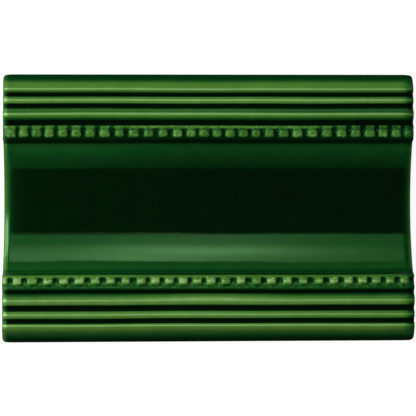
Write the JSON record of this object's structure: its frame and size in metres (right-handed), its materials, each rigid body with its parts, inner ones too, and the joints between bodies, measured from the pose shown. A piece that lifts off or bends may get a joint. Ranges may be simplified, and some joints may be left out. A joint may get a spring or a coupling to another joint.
{
  "type": "cornice tile",
  "caption": "Glazed ceramic cornice tile: a long concave cove between two reeded borders, each with a row of small beads. Bedded flat on a wall as a trim course.",
  "frame": {"origin": "middle of the flat back, on the floor that the tile lies on", "axes": "+X along the run of the moulding, +Y up the wall to the picture's upper border, +Z out of the moulded face"},
  "size_m": [0.152, 0.099, 0.018],
  "materials": {
    "green_glaze": "gloss"
  },
  "bodies": {
    "root": {"cornice_tile": "green_glaze"}
  },
  "joints": []
}
